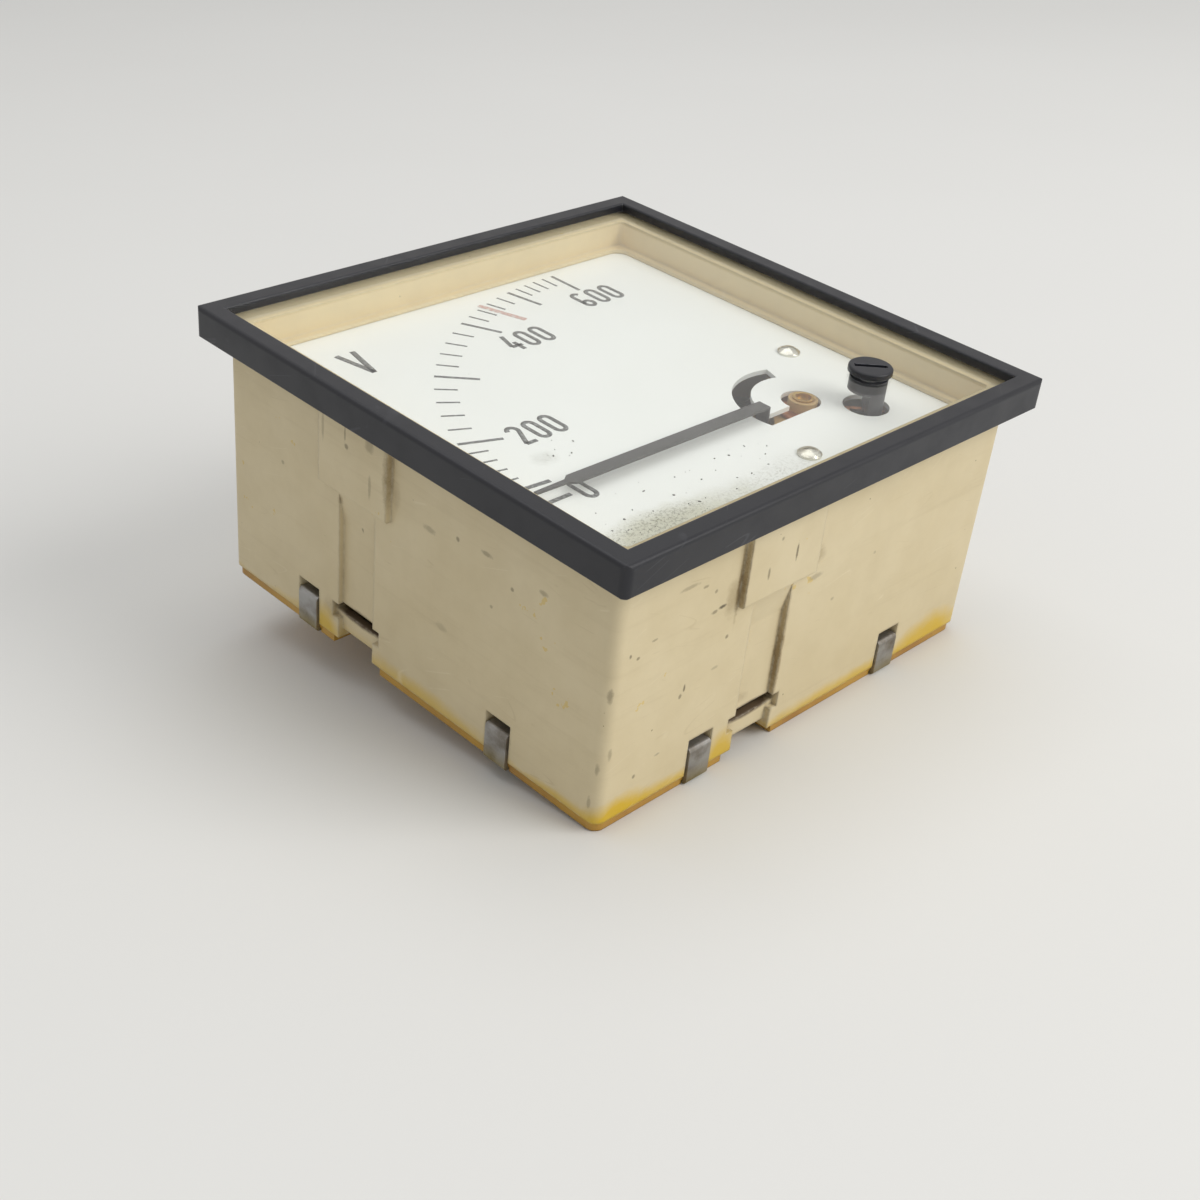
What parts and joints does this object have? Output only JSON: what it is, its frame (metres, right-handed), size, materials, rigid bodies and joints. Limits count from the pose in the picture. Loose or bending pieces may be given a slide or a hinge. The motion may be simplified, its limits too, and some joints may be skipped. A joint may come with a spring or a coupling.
{
  "type": "analog panel meter",
  "caption": "Square panel voltmeter with a quadrant scale, moving iron movement, clamp slots in its sides and stud terminals at the rear.",
  "frame": {"origin": "centre of the panel seat, the flat rear face of the bezel", "axes": "+Z out of the dial towards the viewer, +X to the dial's right, +Y to its top"},
  "size_m": [0.096, 0.096, 0.0577],
  "materials": {
    "black_moulding": "satin moulded",
    "window_glass": "clear",
    "cream_moulding": "aged moulded plastic",
    "amber_laminate": "varnished laminate",
    "clip_steel": "spring steel, part lacquered",
    "dial_paint": "matt white enamel",
    "dial_ink": "printed",
    "index_red": "faded print",
    "bright_screw": "nickel plated",
    "pointer_paint": "speckled dark grey",
    "turned_brass": "turned",
    "steel": "bright",
    "spring_bronze": "rolled strip",
    "vane_sheet": "plain sheet",
    "soft_iron": "annealed sheet",
    "lever_copper": "stamped copper",
    "tan_moulding": "moulded",
    "lid_board": "pressed board",
    "brown_moulding": "moulded",
    "bobbin_moulding": "moulded",
    "coil_wire": "enamelled wire",
    "resistor_ceramic": "glazed",
    "lead_red": "insulation",
    "lead_black": "insulation"
  },
  "bodies": {
    "case": {"bezel": "black_moulding", "window_pane": "window_glass", "housing": "cream_moulding", "base_plate": "amber_laminate", "resistor_board": "amber_laminate", "clips_left": "clip_steel", "clips_right": "clip_steel", "clips_top": "clip_steel", "clips_bottom": "clip_steel", "dial_plate": "dial_paint", "scale_marks": "dial_ink", "red_index": "index_red", "dial_screws": "bright_screw", "solder_lugs": "bright_screw", "fixing_washers": "bright_screw", "contact_washers": "bright_screw", "front_jewel_screw": "turned_brass", "rear_jewel_screw": "turned_brass", "rear_lock_nut": "turned_brass", "terminal_studs": "turned_brass", "fixing_nuts": "turned_brass", "terminal_nuts": "turned_brass", "board_spacers": "turned_brass", "bridge_screws": "steel", "cup_screws": "steel", "board_screws": "steel", "fixed_iron": "soft_iron", "bearing_bridge": "tan_moulding", "damping_box": "tan_moulding", "damping_lid": "lid_board", "movement_cup": "brown_moulding", "coil_bobbin": "bobbin_moulding", "coil_winding": "coil_wire", "series_resistors": "resistor_ceramic", "lead_input": "lead_red", "lead_coil": "lead_red", "lead_return": "lead_black"},
    "adjuster": {"zero_adjuster": "black_moulding", "adjuster_sleeve": "black_moulding"},
    "lever": {"zero_lever": "lever_copper"},
    "moving_system": {"pointer": "pointer_paint", "pointer_collet": "turned_brass", "balance_weights": "turned_brass", "spindle": "steel", "hairspring": "spring_bronze", "damping_vane": "vane_sheet", "iron_carrier": "turned_brass", "moving_iron": "soft_iron"}
  },
  "joints": [
    {"name": "zero_adjust", "type": "hinge", "parent": "case", "child": "adjuster", "pos_m": [0.028, -0.028, 0], "axis": [0, 0, 1], "range_deg": [-25, 25]},
    {"name": "zero_lever_swing", "type": "hinge", "parent": "case", "child": "lever", "pos_m": [0.021, -0.021, -0.005], "axis": [0, 0, 1], "range_deg": [-3.6, 3.6]},
    {"name": "pointer_swing", "type": "hinge", "parent": "lever", "child": "moving_system", "pos_m": [0.021, -0.021, -0.01], "axis": [0, 0, 1], "range_deg": [-90.5, 1.2], "stiffness_Nm_per_rad": 0.000025}
  ],
  "couplings": [
    {"joint": "zero_lever_swing", "follows": "zero_adjust", "ratio": 0.1391}
  ]
}
